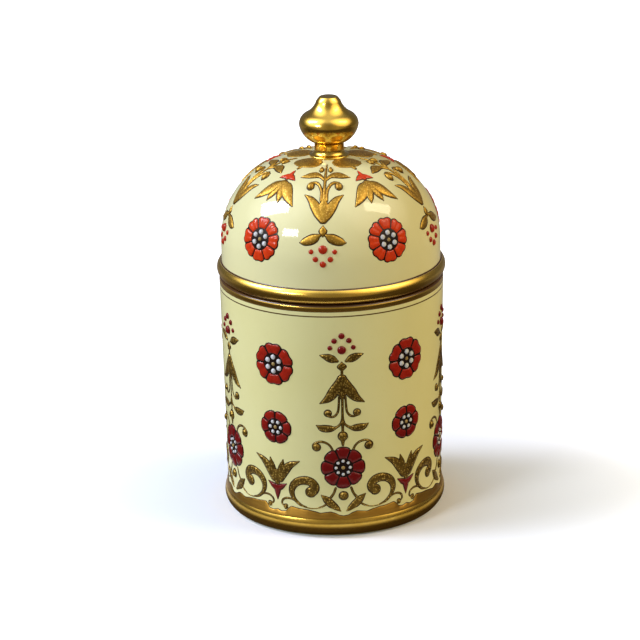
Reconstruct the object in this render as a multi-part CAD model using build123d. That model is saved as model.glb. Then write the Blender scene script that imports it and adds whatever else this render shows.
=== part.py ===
from build123d import *
import math
import os

# Covered jar of glazed porcelain: a round jar, a domed cover that drops into its mouth, a gilt knob
# on the cover's crown, and raised enamel drops and petals fused on the glaze.
# Millimetres, +Z up, origin in the middle of the foot on the surface it stands on.

# The jar. Its radii follow from the bead's, as insets and flares.
BEAD_OUTER_RADIUS = 32.5  # the widest part, on the cover
RIM_INSET = 0.6
WALL_SPREAD = 1.0  # the wall widens a little upwards
FOOT_FLARE = 1.05
FOOT_TUCK = 2.55  # from the widest part of the foot in to the ring that it stands on
FOOT_RING_WIDTH = 3.2
FOOT_WIDEST_HEIGHT = 3.8
FOOT_ROUND_TOP = 6.0  # where the rounded foot turns into the cove
COVE_TOP = 10.0
JAR_HEIGHT = 69.0  # the rim, where the cover sits
WALL = 3.2
FLOOR_THICKNESS = 3.4
BASE_RECESS = 2.2  # hollow under the floor, inside the foot ring
FLOOR_ROUND = 5.0
RECESS_ROUND = 1.4
RIM_OUTER_ROUND = 0.8
RIM_INNER_ROUND = 0.4

# The cover
BEAD_RADIUS = 2.4  # section of the moulded bead round the cover
DOME_INSET = 1.4
DOME_HEIGHT = 29.6  # from the top of the bead to the crown
DOME_STRAIGHT = 5.5  # upright part of the dome above the bead
SHOULDER_SHARE = 0.9855  # the shoulder arc's radius over the rise of the curved part
DOME_WALL = 3.0
FLANGE_CLEARANCE = 0.6  # all round, between the flange and the jar's mouth
FLANGE_THICKNESS = 2.3
FLANGE_DEPTH = 6.5
FLANGE_EDGE_ROUND = 0.8
FLANGE_COVE_START = 1.0  # above the seat, where the flange widens into the dome
FLANGE_COVE_HEIGHT = 3.6

# The knob, by heights above its seat
KNOB_FOOT_RADIUS = 5.6
KNOB_FOOT_EDGE = 0.5
KNOB_NECK_RADIUS = 4.15
KNOB_NECK_START = 1.9
KNOB_NECK_END = 3.9
KNOB_BULB_RADIUS = 8.4
KNOB_BULB_HEIGHT = 9.1
KNOB_SHOULDER_RADIUS = 6.4
KNOB_SHOULDER_HEIGHT = 12.3
KNOB_LIP_RADIUS = 3.4
KNOB_LIP_HEIGHT = 15.9
KNOB_TOP_RADIUS = 2.5
KNOB_HEIGHT = 17.0
KNOB_UNDER_BULGE = 0.95  # how far the underside of the bulb swells past a straight line

# Raised enamel
REPEATS = 5  # the ornament repeats five times round the jar and round the cover
JAR_COLUMN_ANGLE = 4.5  # degrees from the front, towards +X
COVER_COLUMN_ANGLE = -4.2
PETAL_GAP = 0.12  # the dark line left between neighbouring petals
PEARL_GAP = 0.58  # between neighbouring pearls of a ring
PEARL_TO_PETAL = 0.3
GLAZE_SKIN = 0.01  # the enamel lies this far off the body under it
PETAL_RAISE = 0.35
PETAL_EDGE_SLOPE = 0.14
PEARL_RAISE_SHARE = 0.8  # a pearl's height over its radius
BERRY_RAISE_SHARE = 0.7

# Rosettes: up is the height on the jar, or the arc length above the bead on the cover; turn is the
# first petal's direction in degrees; the rest are the outer radius, the counts and the drops' radii.
LARGE_ROSETTE = dict(up=21.1, radius=6.2, petals=8, pearls=8, pearl=0.47, centre=0.60, turn=90.0)
UPPER_ROSETTE = dict(up=50.8, radius=6.2, petals=6, pearls=6, pearl=0.75, centre=0.60, turn=90.0)
LOWER_ROSETTE = dict(up=32.0, radius=4.9, petals=6, pearls=6, pearl=0.55, centre=0.50, turn=60.0)
DOME_ROSETTE = dict(up=12.2, radius=6.3, petals=8, pearls=6, pearl=0.72, centre=0.60, turn=90.0)

# A spray of berries: the big one, then pairs at each side and one at the tip
BERRY_RADIUS = 0.72
BIG_BERRY_RADIUS = 1.25
JAR_SPRAY_HEIGHT = 56.1  # the big berry on the jar
DOME_SPRAY_ARC = 11.0  # the big berry on the cover
BERRY_OFFSETS = ((0.0, 4.1), (2.05, 2.7), (-2.05, 2.7), (3.25, 0.65), (-3.25, 0.65))

# Derived sizes
WALL_TOP_RADIUS = BEAD_OUTER_RADIUS - RIM_INSET
WALL_BOTTOM_RADIUS = WALL_TOP_RADIUS - WALL_SPREAD
FOOT_RADIUS = WALL_BOTTOM_RADIUS + FOOT_FLARE
FOOT_CONTACT_RADIUS = FOOT_RADIUS - FOOT_TUCK
DOME_RADIUS = BEAD_OUTER_RADIUS - DOME_INSET
WALL_LEAN = math.atan2(WALL_SPREAD, JAR_HEIGHT - COVE_TOP)
FLOOR_TOP = BASE_RECESS + FLOOR_THICKNESS
BEAD_CENTRE_RADIUS = BEAD_OUTER_RADIUS - BEAD_RADIUS
BEAD_CENTRE_HEIGHT = JAR_HEIGHT + BEAD_RADIUS
DOME_BASE = BEAD_CENTRE_HEIGHT + BEAD_RADIUS
SPRING_HEIGHT = DOME_BASE + DOME_STRAIGHT
CROWN_HEIGHT = DOME_BASE + DOME_HEIGHT


def wall_radius(height):
    """Outside radius of the jar's wall at a height above the cove."""
    return WALL_BOTTOM_RADIUS + math.tan(WALL_LEAN) * (height - COVE_TOP)


MOUTH_RADIUS = wall_radius(JAR_HEIGHT) - WALL
FLANGE_RADIUS = MOUTH_RADIUS - FLANGE_CLEARANCE
FLANGE_BORE_RADIUS = FLANGE_RADIUS - FLANGE_THICKNESS

# The dome is two tangent arcs: the shoulder starts upright at the spring, and the crown's centre is on
# the axis. Their centres and the crown's radius follow from where they meet.
SHOULDER_RISE = DOME_HEIGHT - DOME_STRAIGHT
SHOULDER_RADIUS = SHOULDER_RISE * SHOULDER_SHARE
SHOULDER_CENTRE_RADIUS = DOME_RADIUS - SHOULDER_RADIUS
CROWN_RADIUS = (SHOULDER_CENTRE_RADIUS**2 + SHOULDER_RISE**2 - SHOULDER_RADIUS**2) / (
    2 * (SHOULDER_RISE - SHOULDER_RADIUS)
)
CROWN_CENTRE_HEIGHT = CROWN_HEIGHT - CROWN_RADIUS
MEETING_ANGLE = math.atan2(SPRING_HEIGHT - CROWN_CENTRE_HEIGHT, SHOULDER_CENTRE_RADIUS)
KNOB_SEAT_HEIGHT = CROWN_CENTRE_HEIGHT + math.sqrt(CROWN_RADIUS**2 - KNOB_FOOT_RADIUS**2)


def polar(centre_radius, centre_height, radius, angle):
    """A point of the section on an arc, by its angle above the horizontal in radians."""
    return (centre_radius + radius * math.cos(angle), centre_height + radius * math.sin(angle))


def section_arc(centre_radius, centre_height, radius, start, end):
    """An arc of the section between two angles in radians."""
    middle = (start + end) / 2
    return ThreePointArc(
        polar(centre_radius, centre_height, radius, start),
        polar(centre_radius, centre_height, radius, middle),
        polar(centre_radius, centre_height, radius, end),
    )


def lines(*points):
    """Straight edges of the section through the points in turn."""
    return [Line(a, b) for a, b in zip(points, points[1:])]


def turned(edges, rounds=()):
    """The solid of revolution of a closed section, with (radius, height, fillet) corners rounded."""
    face = make_face(Plane.XZ * Wire(edges))
    for corner_radius, height, fillet_radius in rounds:
        corner = Vector(corner_radius, 0, height)
        nearest = min(face.vertices(), key=lambda vertex: (Vector(*vertex) - corner).length)
        face = fillet(nearest, fillet_radius)
    return revolve(face, Axis.Z)


def make_jar():
    """The jar: foot ring, rounded foot, cove, wall and plain mouth, thrown hollow."""
    spread = FOOT_RADIUS - FOOT_CONTACT_RADIUS
    foot_round = (spread**2 + FOOT_WIDEST_HEIGHT**2) / (2 * spread)
    centre = FOOT_RADIUS - foot_round
    start = math.atan2(-FOOT_WIDEST_HEIGHT, FOOT_CONTACT_RADIUS - centre)
    end = math.asin((FOOT_ROUND_TOP - FOOT_WIDEST_HEIGHT) / foot_round)
    foot = section_arc(centre, FOOT_WIDEST_HEIGHT, foot_round, start, end)
    cove_top = (WALL_BOTTOM_RADIUS, COVE_TOP)
    down_the_wall = (-math.sin(WALL_LEAN), -math.cos(WALL_LEAN))
    cove = TangentArc(cove_top, foot @ 1, tangent=down_the_wall)
    rim_outer = (wall_radius(JAR_HEIGHT), JAR_HEIGHT)
    rim_inner = (MOUTH_RADIUS, JAR_HEIGHT)
    floor_corner = (wall_radius(FLOOR_TOP) - WALL, FLOOR_TOP)
    ring_inner = FOOT_CONTACT_RADIUS - FOOT_RING_WIDTH
    inside = lines(cove_top, rim_outer, rim_inner, floor_corner, (0, FLOOR_TOP), (0, BASE_RECESS))
    under = lines((0, BASE_RECESS), (ring_inner, BASE_RECESS), (ring_inner, 0), (FOOT_CONTACT_RADIUS, 0))
    rounds = (
        (*rim_outer, RIM_OUTER_ROUND),
        (*rim_inner, RIM_INNER_ROUND),
        (*floor_corner, FLOOR_ROUND),
        (ring_inner, BASE_RECESS, RECESS_ROUND),
    )
    return turned([foot, cove, *inside, *under], rounds)


def make_cover():
    """The cover: flange, flat seat, half-round bead, dome and a flat seat for the knob, hollow."""
    join_angle = math.acos((DOME_RADIUS - BEAD_CENTRE_RADIUS) / BEAD_RADIUS)
    bead = section_arc(BEAD_CENTRE_RADIUS, BEAD_CENTRE_HEIGHT, BEAD_RADIUS, -math.pi / 2, join_angle)
    side = Line(bead @ 1, (DOME_RADIUS, SPRING_HEIGHT))
    shoulder = section_arc(SHOULDER_CENTRE_RADIUS, SPRING_HEIGHT, SHOULDER_RADIUS, 0, MEETING_ANGLE)
    seat_angle = math.acos(KNOB_FOOT_RADIUS / CROWN_RADIUS)
    crown = section_arc(0, CROWN_CENTRE_HEIGHT, CROWN_RADIUS, MEETING_ANGLE, seat_angle)
    inner_crown_radius = CROWN_RADIUS - DOME_WALL
    inner_crown = section_arc(0, CROWN_CENTRE_HEIGHT, inner_crown_radius, math.pi / 2, MEETING_ANGLE)
    inner_shoulder = section_arc(
        SHOULDER_CENTRE_RADIUS, SPRING_HEIGHT, SHOULDER_RADIUS - DOME_WALL, MEETING_ANGLE, 0
    )
    knob_seat = lines(crown @ 1, (0, KNOB_SEAT_HEIGHT), inner_crown @ 0)
    flange_foot = JAR_HEIGHT - FLANGE_DEPTH
    cove_start = JAR_HEIGHT + FLANGE_COVE_START
    flange = lines(
        inner_shoulder @ 1,
        (DOME_RADIUS - DOME_WALL, cove_start + FLANGE_COVE_HEIGHT),
        (FLANGE_BORE_RADIUS, cove_start),
        (FLANGE_BORE_RADIUS, flange_foot),
        (FLANGE_RADIUS, flange_foot),
        (FLANGE_RADIUS, JAR_HEIGHT),
        (BEAD_CENTRE_RADIUS, JAR_HEIGHT),
    )
    rounds = (
        (FLANGE_BORE_RADIUS, flange_foot, FLANGE_EDGE_ROUND),
        (FLANGE_RADIUS, flange_foot, FLANGE_EDGE_ROUND),
    )
    edges = [bead, side, shoulder, crown, *knob_seat, inner_crown, inner_shoulder, *flange]
    return turned(edges, rounds)


def make_knob():
    """The knob: spread foot, neck, bulb that draws in like an onion, and a small flat tip."""
    base = KNOB_SEAT_HEIGHT
    foot_edge = (KNOB_FOOT_RADIUS, base + KNOB_FOOT_EDGE)
    neck_start = (KNOB_NECK_RADIUS, base + KNOB_NECK_START)
    neck_end = (KNOB_NECK_RADIUS, base + KNOB_NECK_END)
    bulb = (KNOB_BULB_RADIUS, base + KNOB_BULB_HEIGHT)
    shoulder = (KNOB_SHOULDER_RADIUS, base + KNOB_SHOULDER_HEIGHT)
    lip = (KNOB_LIP_RADIUS, base + KNOB_LIP_HEIGHT)
    tip = (KNOB_TOP_RADIUS, base + KNOB_HEIGHT)
    chord = Vector(*bulb) - Vector(*neck_end)
    outward = Vector(chord.Y, -chord.X).normalized()
    belly = (Vector(*bulb) + Vector(*neck_end)) / 2 + outward * KNOB_UNDER_BULGE
    flare = TangentArc(neck_start, foot_edge, tangent=(0, -1))
    under = ThreePointArc(neck_end, belly, bulb)
    upper = TangentArc(bulb, shoulder, tangent=(0, 1))
    hollow = TangentArc(upper @ 1, lip, tangent=upper % 1)
    edges = [
        *lines((0, base), (KNOB_FOOT_RADIUS, base), foot_edge),
        flare,
        *lines(neck_start, neck_end),
        under,
        upper,
        hollow,
        *lines(lip, tip, (0, base + KNOB_HEIGHT), (0, base)),
    ]
    return turned(edges)


def facing(angle, radius, height, lean):
    """The plane that touches a round surface: local X runs round it, Y up it and Z out of it."""
    theta = math.radians(angle)
    tilt = math.cos(lean)
    normal = (math.sin(theta) * tilt, -math.cos(theta) * tilt, math.sin(lean))
    on_surface = Vector(radius * math.sin(theta), -radius * math.cos(theta), height)
    origin = on_surface + Vector(*normal) * GLAZE_SKIN
    return Plane(origin=origin, x_dir=(math.cos(theta), math.sin(theta), 0), z_dir=normal)


def on_jar(column, across, up):
    """The touching plane on the jar's wall, a distance across from a column and at a height."""
    radius = wall_radius(up)
    return facing(column + math.degrees(across / radius), radius, up, -WALL_LEAN)


def on_dome(column, across, up):
    """The touching plane on the dome, a distance across from a column and an arc length up from the
    top of the bead."""
    if up < DOME_STRAIGHT:
        return facing(column + math.degrees(across / DOME_RADIUS), DOME_RADIUS, DOME_BASE + up, 0)
    lean = (up - DOME_STRAIGHT) / SHOULDER_RADIUS
    radius, height = polar(SHOULDER_CENTRE_RADIUS, SPRING_HEIGHT, SHOULDER_RADIUS, lean)
    return facing(column + math.degrees(across / radius), radius, height, lean)


def enamel_drop(radius, raise_share):
    """A flat-bottomed drop of enamel, a cap of a sphere."""
    rise = radius * raise_share
    ball = (radius**2 + rise**2) / (2 * rise)
    half_spread = math.asin(radius / ball) / 2
    middle = (ball * math.sin(half_spread), rise - ball * (1 - math.cos(half_spread)))
    cap = ThreePointArc((0, rise), middle, (radius, 0))
    return turned([cap, *lines((radius, 0), (0, 0), (0, rise))])


def pearl_ring_radius(rosette):
    """Radius of the ring through the pearls' middles."""
    return (rosette["pearl"] + PEARL_GAP / 2) / math.sin(math.pi / rosette["pearls"])


def enamel_petal(rosette):
    """One petal in its own frame: local X points away from the rosette's middle, which is at 0, 0."""
    inner = pearl_ring_radius(rosette) + rosette["pearl"] + PEARL_TO_PETAL
    outer = rosette["radius"]
    half_pitch = math.pi / rosette["petals"]
    straight = outer - (outer - inner) * 0.42
    half_inner = inner * math.tan(half_pitch) - PETAL_GAP / 2 / math.cos(half_pitch)
    half_outer = straight * math.tan(half_pitch) - PETAL_GAP / 2 / math.cos(half_pitch)
    edges = [
        Line((inner, half_inner), (inner, -half_inner)),
        Line((inner, -half_inner), (straight, -half_outer)),
        ThreePointArc((straight, -half_outer), (outer, 0), (straight, half_outer)),
        Line((straight, half_outer), (inner, half_inner)),
    ]
    outline = make_face(edges)
    petal = extrude(outline, PETAL_RAISE)
    petal = chamfer(petal.faces().sort_by(Axis.Z)[-1].edges(), PETAL_EDGE_SLOPE)
    middle = (inner + outer) / 2
    return petal.moved(Location((-middle, 0, 0))), middle


def rosette_pieces(rosette, surface, column):
    """The petals, and the pearls with the centre drop, of one rosette on a surface."""
    petal, middle = enamel_petal(rosette)
    pearl = enamel_drop(rosette["pearl"], PEARL_RAISE_SHARE)
    centre = enamel_drop(rosette["centre"], PEARL_RAISE_SHARE)
    ring = pearl_ring_radius(rosette)
    petals = []
    pearls = [surface(column, 0, rosette["up"]).location * centre]
    for number in range(rosette["petals"]):
        angle = rosette["turn"] + 360 * number / rosette["petals"]
        direction = math.radians(angle)
        place = surface(column, middle * math.cos(direction), rosette["up"] + middle * math.sin(direction))
        petals.append(place.location * Rot(0, 0, angle) * petal)
    for number in range(rosette["pearls"]):
        direction = math.radians(rosette["turn"] + 360 * number / rosette["pearls"])
        place = surface(column, ring * math.cos(direction), rosette["up"] + ring * math.sin(direction))
        pearls.append(place.location * pearl)
    return petals, pearls


def berry_spray(surface, column, up, direction):
    """The big berry and its five small ones; direction is 1 if the tip points up the surface."""
    big = enamel_drop(BIG_BERRY_RADIUS, BERRY_RAISE_SHARE)
    small = enamel_drop(BERRY_RADIUS, BERRY_RAISE_SHARE)
    berries = [surface(column, 0, up).location * big]
    for across, along in BERRY_OFFSETS:
        berries.append(surface(column, across, up + direction * along).location * small)
    return berries


def columns(first):
    """The angles of the repeats round the jar."""
    return [first + 360 * number / REPEATS for number in range(REPEATS)]


def make_enamels():
    """Every group of raised enamel by its node name."""
    groups = {name: [] for name in (
        "jar_petals", "jar_pearls", "jar_berries", "cover_petals", "cover_pearls", "cover_berries"
    )}
    half_pitch = 180 / REPEATS
    for column in columns(JAR_COLUMN_ANGLE):
        between = column + half_pitch
        for rosette, place in (
            (LARGE_ROSETTE, column),
            (UPPER_ROSETTE, between),
            (LOWER_ROSETTE, between),
        ):
            petals, pearls = rosette_pieces(rosette, on_jar, place)
            groups["jar_petals"] += petals
            groups["jar_pearls"] += pearls
        groups["jar_berries"] += berry_spray(on_jar, column, JAR_SPRAY_HEIGHT, 1)
    for column in columns(COVER_COLUMN_ANGLE):
        petals, pearls = rosette_pieces(DOME_ROSETTE, on_dome, column + half_pitch)
        groups["cover_petals"] += petals
        groups["cover_pearls"] += pearls
        groups["cover_berries"] += berry_spray(on_dome, column, DOME_SPRAY_ARC, -1)
    return groups


def write(name, *pieces):
    """One STEP file for a node, from one solid or from a group of separate ones."""
    solids = [solid for piece in pieces for solid in piece.solids()]
    export_step(solids[0] if len(solids) == 1 else Compound(solids), f"parts/{name}.step")


os.makedirs("parts", exist_ok=True)
write("jar", make_jar())
write("cover", make_cover())
write("knob", make_knob())
for node, pieces in make_enamels().items():
    write(node, *pieces)
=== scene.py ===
import math

import bmesh
import bpy
import numpy as np
from mathutils import Euler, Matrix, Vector


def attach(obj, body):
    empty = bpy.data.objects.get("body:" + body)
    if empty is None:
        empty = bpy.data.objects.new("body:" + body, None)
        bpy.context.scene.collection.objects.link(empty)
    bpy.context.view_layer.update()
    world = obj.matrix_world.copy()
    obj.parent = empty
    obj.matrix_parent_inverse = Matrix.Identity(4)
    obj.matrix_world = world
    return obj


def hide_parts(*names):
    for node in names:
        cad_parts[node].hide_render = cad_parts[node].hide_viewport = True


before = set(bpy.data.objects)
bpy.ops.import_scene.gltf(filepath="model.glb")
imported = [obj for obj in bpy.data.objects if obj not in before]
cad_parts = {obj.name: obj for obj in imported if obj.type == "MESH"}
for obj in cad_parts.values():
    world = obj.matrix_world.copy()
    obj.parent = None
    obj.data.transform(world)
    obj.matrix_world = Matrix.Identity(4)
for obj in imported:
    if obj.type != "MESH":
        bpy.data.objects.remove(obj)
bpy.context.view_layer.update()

# The jar: a thrown porcelain pot with a foot ring, a rounded gilt foot and a plain mouth, glazed a
# glossy cream inside and out. The rim and the foot are gilt, with thin brown lines drawn beside them,
# and the top of the rim, in the seam under the cover's bead, is painted brown as shade.
MM = 0.001  # sizes are in millimetres, as in the CAD, and meshes in metres
BEAD_OUTER_RADIUS = 32.5  # the cover's bead, the widest part; the jar's radii follow from it
RIM_INSET = 0.6
WALL_SPREAD = 1.0
WALL = 3.2
WALL_TOP_RADIUS = BEAD_OUTER_RADIUS - RIM_INSET
WALL_BOTTOM_RADIUS = WALL_TOP_RADIUS - WALL_SPREAD
JAR_HEIGHT = 69.0
COVE_TOP = 10.0
WALL_LEAN = math.atan2(WALL_SPREAD, JAR_HEIGHT - COVE_TOP)
FOOT_FLARE = 1.05
FOOT_TUCK = 2.55
FOOT_RING_WIDTH = 3.2
FOOT_RADIUS = WALL_BOTTOM_RADIUS + FOOT_FLARE
FOOT_CONTACT_RADIUS = FOOT_RADIUS - FOOT_TUCK
FOOT_RING_INNER = FOOT_CONTACT_RADIUS - FOOT_RING_WIDTH
FOOT_WIDEST_HEIGHT = 3.8
FOOT_ROUND_TOP = 6.0
BASE_RECESS = 2.2
FLOOR_THICKNESS = 3.4
FLOOR_TOP = BASE_RECESS + FLOOR_THICKNESS
FLOOR_ROUND = 5.0
RECESS_ROUND = 1.4
FOOT_RING_ROUND = 0.4
RIM_OUTER_ROUND = 0.8
RIM_INNER_ROUND = 0.4
LATHE_STEPS = 200
WIDE_FILLET = 1.5  # a fillet from this radius up is drawn with more points
MERGE_DISTANCE = 1e-7


def wall_radius(height):
    """Outside radius of the jar's wall, in millimetres, at a height above the cove."""
    return WALL_BOTTOM_RADIUS + math.tan(WALL_LEAN) * (height - COVE_TOP)


def arc(centre, radius, start, end, steps):
    """Points of an arc of the section, by its angles above the horizontal in radians."""
    angles = np.linspace(start, end, steps)
    return [(centre[0] + radius * math.cos(a), centre[1] + radius * math.sin(a)) for a in angles]


def tangent_arc(start, direction, end, steps):
    """Points of the arc that leaves start along direction and reaches end."""
    along = Vector(direction).normalized()
    side = Vector((-along.y, along.x))
    chord = Vector(end) - Vector(start)
    radius = chord.length_squared / (2 * chord.dot(side))
    centre = Vector(start) + side * radius
    first = math.atan2(start[1] - centre.y, start[0] - centre.x)
    last = math.atan2(end[1] - centre.y, end[0] - centre.x)
    if radius > 0 and last < first:
        last += 2 * math.pi
    if radius < 0 and last > first:
        last -= 2 * math.pi
    return arc(centre, abs(radius), first, last, steps)


def rounded(corners, support=0.15, longest=2.5):
    """Points of straight runs between (radius, height, round) corners, each corner an arc. Extra
    points beside the arcs keep the smooth shading off the straight runs, which are cut into lengths
    no longer than longest."""
    points = []
    for number, (x, y, fillet) in enumerate(corners):
        corner = Vector((x, y))
        if fillet == 0 or number in (0, len(corners) - 1):
            points.append(corner)
            continue
        back = (Vector(corners[number - 1][:2]) - corner).normalized()
        ahead = (Vector(corners[number + 1][:2]) - corner).normalized()
        half = back.angle(ahead) / 2
        reach = fillet / math.tan(half)
        centre = corner + (back + ahead).normalized() * (fillet / math.sin(half))
        start = corner + back * reach
        turn = math.pi - 2 * half
        sign = 1 if back.x * ahead.y - back.y * ahead.x < 0 else -1
        first = math.atan2(start.y - centre.y, start.x - centre.x)
        steps = 6 if fillet < WIDE_FILLET else 14
        points.append(start + back * support)
        points += [Vector(p) for p in arc(centre, fillet, first, first + sign * turn, steps)]
        points.append(corner + ahead * (reach + support))
    spaced = [points[0]]
    for point in points[1:]:
        run = (point - spaced[-1]).length
        pieces = max(1, math.ceil(run / longest))
        start = spaced[-1]
        spaced += [start.lerp(point, step / pieces) for step in range(1, pieces + 1)]
    return [(p.x, p.y) for p in spaced]


def piece_from(name, vertices, faces):
    """A smooth object at the origin from vertices in metres, its faces turned outwards."""
    mesh = bpy.data.meshes.new(name)
    mesh.from_pydata(vertices, [], faces)
    shell = bmesh.new()
    shell.from_mesh(mesh)
    bmesh.ops.remove_doubles(shell, verts=shell.verts, dist=MERGE_DISTANCE)
    bmesh.ops.recalc_face_normals(shell, faces=shell.faces)
    for face in shell.faces:
        face.smooth = True
    shell.to_mesh(mesh)
    shell.free()
    piece = bpy.data.objects.new(name, mesh)
    bpy.context.scene.collection.objects.link(piece)
    return piece


def turned(name, section):
    """A solid of revolution about +Z from a section that starts and ends on the axis."""
    vertices = [(0, 0, section[0][1] * MM)]
    for radius, height in section[1:-1]:
        for step in range(LATHE_STEPS):
            angle = 2 * math.pi * step / LATHE_STEPS
            vertices.append((radius * MM * math.cos(angle), radius * MM * math.sin(angle), height * MM))
    vertices.append((0, 0, section[-1][1] * MM))
    rings = len(section) - 2
    faces = []
    for step in range(LATHE_STEPS):
        following = (step + 1) % LATHE_STEPS
        faces.append((0, 1 + step, 1 + following))
        for ring in range(rings - 1):
            low = 1 + ring * LATHE_STEPS
            high = low + LATHE_STEPS
            faces.append((low + step, high + step, high + following, low + following))
        last = 1 + (rings - 1) * LATHE_STEPS
        faces.append((last + step, len(vertices) - 1, last + following))
    return piece_from(name, vertices, faces)


def jar_section():
    """The jar's section from under the floor, round the foot, up the wall and down inside."""
    spread = FOOT_RADIUS - FOOT_CONTACT_RADIUS
    foot_round = (spread**2 + FOOT_WIDEST_HEIGHT**2) / (2 * spread)
    centre = (FOOT_RADIUS - foot_round, FOOT_WIDEST_HEIGHT)
    start = math.atan2(-FOOT_WIDEST_HEIGHT, FOOT_CONTACT_RADIUS - centre[0])
    end = math.asin((FOOT_ROUND_TOP - FOOT_WIDEST_HEIGHT) / foot_round)
    foot = arc(centre, foot_round, start, end, steps=26)
    cove_top = (WALL_BOTTOM_RADIUS, COVE_TOP)
    down_the_wall = (-math.sin(WALL_LEAN), -math.cos(WALL_LEAN))
    cove = tangent_arc(cove_top, down_the_wall, foot[-1], steps=14)[::-1]
    beside_foot = FOOT_CONTACT_RADIUS - 0.2  # keeps the shading flat under the foot ring
    under = rounded([
        (0, BASE_RECESS, 0),
        (FOOT_RING_INNER, BASE_RECESS, RECESS_ROUND),
        (FOOT_RING_INNER, 0, FOOT_RING_ROUND),
        (beside_foot, 0, 0),
    ])
    mouth = wall_radius(JAR_HEIGHT) - WALL
    inside = rounded([
        (*cove_top, 0),
        (wall_radius(JAR_HEIGHT), JAR_HEIGHT, RIM_OUTER_ROUND),
        (mouth, JAR_HEIGHT, RIM_INNER_ROUND),
        (wall_radius(FLOOR_TOP) - WALL, FLOOR_TOP, FLOOR_ROUND),
        (0, FLOOR_TOP, 0),
    ])
    return under + foot + cove[1:] + inside[1:]


def feed(owner, socket, value):
    """Links another node's output to a socket, or sets the socket to a plain value."""
    if isinstance(value, bpy.types.NodeSocket):
        owner.node_tree.links.new(value, socket)
    else:
        socket.default_value = value


def node(owner, kind, **inputs):
    """A new shader node of a material or of the world. An input is named, with _ for a space, or
    numbered, as in _0."""
    made = owner.node_tree.nodes.new("ShaderNode" + kind)
    for name, value in inputs.items():
        if name in ("operation", "data_type"):
            setattr(made, name, value)
        else:
            which = int(name[1:]) if name[0] == "_" else name.replace("_", " ")
            feed(owner, made.inputs[which], value)
    return made


def new_material(name):
    """An empty node material, the inputs of its Principled shader, and the place on the object, which
    its patterns follow."""
    material = bpy.data.materials.new(name)
    material.use_nodes = True
    place = node(material, "TexCoord").outputs["Object"]
    return material, material.node_tree.nodes["Principled BSDF"].inputs, place


def math_node(owner, operation, first, second=0.0, third=0.0, clamp=False):
    """The result of a Math node."""
    made = node(owner, "Math", operation=operation, _0=first, _1=second, _2=third)
    made.use_clamp = clamp
    return made.outputs[0]


def mixed(owner, share, first, second):
    """The result of a colour Mix node."""
    return node(owner, "Mix", data_type="RGBA", _0=share, _6=first, _7=second).outputs[2]


def soft_step(owner, value, middle, width):
    """0 below a middle value and 1 above it, blended over a width; a negative width turns it round."""
    return math_node(owner, "MULTIPLY_ADD", value, 1 / width, 0.5 - middle / width, clamp=True)


def between(owner, value, low, high, softness):
    """1 where value lies between low and high, with soft edges."""
    above = soft_step(owner, value, low, softness)
    below = soft_step(owner, value, high, -softness)
    return math_node(owner, "MULTIPLY", above, below)


def grain(material, place, scale, detail=3.0, roughness=0.6):
    """Uneven patches from 0 to 1, finer at a larger scale."""
    made = node(material, "TexNoise", Vector=place, Scale=scale, Detail=detail, Roughness=roughness)
    return made.outputs["Fac"]


def bumped(material, shader, height, strength, distance, invert=False):
    """Bumps the surface by a pattern, at most distance metres deep."""
    bump = node(material, "Bump", Strength=strength, Distance=distance, Height=height)
    bump.invert = invert
    feed(material, shader["Normal"], bump.outputs[0])


JAR_CREAM = ((0.805, 0.780, 0.415, 1), (0.740, 0.705, 0.320, 1))  # light, and deep where it pools
CREAM_FLECK = (0.45, 0.38, 0.16, 1)
FLECK_SHARE = 0.10
GOLD_LIGHT = (0.84, 0.575, 0.130, 1)
GOLD_DEEP = (0.60, 0.350, 0.042, 1)
# The brown of the drawn lines, and of the painted shade in the seam under the cover's bead.
LINE_AND_SEAM_SHADE_BROWN = (0.070, 0.028, 0.008, 1)
GLAZE_ROUGHNESS = 0.07
GILT_ROUGHNESS = 0.08  # added to the glaze's where it is gilt
GILT_WEAR = 0.16  # the most that wear adds to that
GILT_EDGE = 0.08  # how softly a gilt band ends, in millimetres
LINE_EDGE = 0.10
JAR_GILT = ((0.6, 6.2), (67.2, 69.1))  # the foot and the rim, as (low, high) heights in millimetres
# The last band is painted shade on the rim's top, in the seam under the cover's bead.
JAR_LINES_AND_SEAM_SHADE = ((65.7, 66.05), (67.15, 67.4), (68.55, 69.1))
JAR_GILT_FROM = 30.2  # the radius outside which the jar is gilt


def banded(material, height, bands, softness):
    """1 inside any of the (low, high) bands of height."""
    inside = 0.0
    for low, high in bands:
        inside = math_node(material, "MAXIMUM", inside, between(material, height, low, high, softness))
    return inside


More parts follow.
